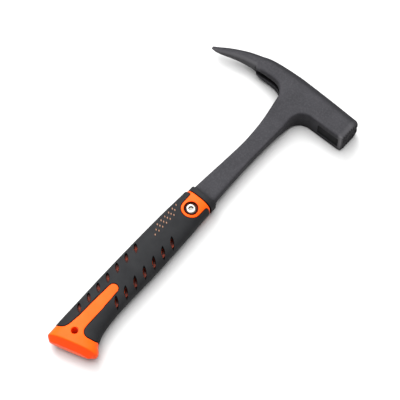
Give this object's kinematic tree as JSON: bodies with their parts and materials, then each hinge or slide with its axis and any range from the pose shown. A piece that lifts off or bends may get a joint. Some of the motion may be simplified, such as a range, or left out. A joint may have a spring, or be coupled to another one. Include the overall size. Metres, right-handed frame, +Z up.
{
  "type": "pick hammer",
  "caption": "Solid forged pick hammer with a square milled face, curved pick, nail-pulling claw slot, magnetic nail groove and a soft grip over a hard orange handle core.",
  "frame": {"origin": "centre of the hammer's outline on the surface it lies on, at the height of its lower cheek", "axes": "+Z up through the thickness, +Y along the handle from the butt to the crown, +X from the pick to the striking face"},
  "size_m": [0.1558, 0.3362, 0.025],
  "materials": {
    "coated_steel": "dark grey satin coating on forged steel",
    "magnet": "dull nickel",
    "hard_orange": "fine-grained moulded plastic",
    "soft_black": "matt soft-touch elastomer",
    "zinc_screw": "bright zinc"
  },
  "bodies": {
    "root": {"forged_head": "coated_steel", "nail_magnet": "magnet", "handle_core": "hard_orange", "soft_grip": "soft_black", "shank_collar": "soft_black", "clamp_screw": "zinc_screw", "sleeve_nut": "zinc_screw"}
  },
  "joints": []
}
